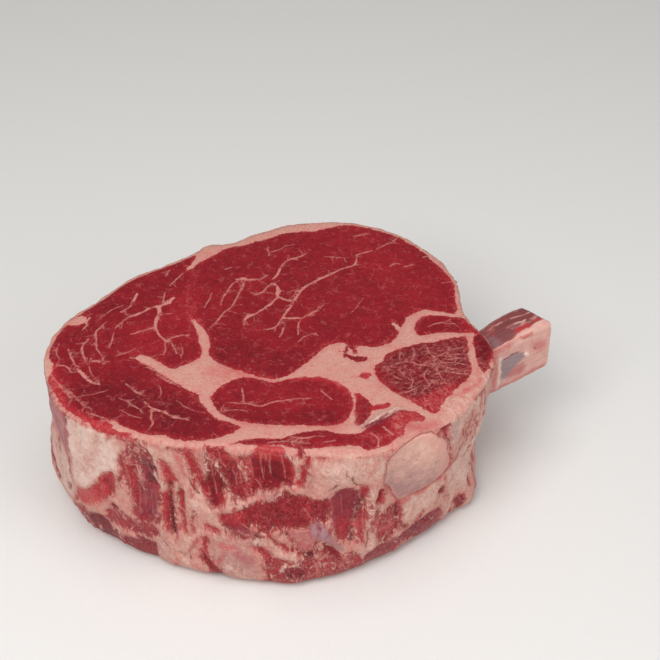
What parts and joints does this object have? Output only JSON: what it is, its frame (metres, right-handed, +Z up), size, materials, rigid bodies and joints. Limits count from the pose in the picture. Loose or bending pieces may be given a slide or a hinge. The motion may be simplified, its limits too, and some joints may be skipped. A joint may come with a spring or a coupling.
{
  "type": "raw beef rib roast",
  "caption": "Thick raw beef rib roast: a marbled slab of meat with fat seams, lying on its cut face, with a trimmed rib bone standing out at one side.",
  "frame": {"origin": "on the surface it lies on, under the middle of the box round the whole roast, bone included", "axes": "+X towards the side where the trimmed rib stands out, +Y towards the rounded back with the eye muscle, +Z up, across the thickness of the slab"},
  "size_m": [0.2562, 0.1904, 0.085],
  "materials": {
    "lean_meat": "moist raw lean meat, dark red with fine pale marbling, soft gloss",
    "fat": "raw fat and membrane, cream to pink, waxy with a moist gloss",
    "bone": "sawn and scraped raw bone, pale pink beige, satin"
  },
  "bodies": {
    "root": {"eye_muscle": "lean_meat", "cap_muscle": "lean_meat", "centre_muscle": "lean_meat", "wedge_muscle": "lean_meat", "strip_muscle": "lean_meat", "rib_side_muscle": "lean_meat", "corner_muscle": "lean_meat", "edge_muscle": "lean_meat", "fat": "fat", "rib_bone": "bone"}
  },
  "joints": []
}
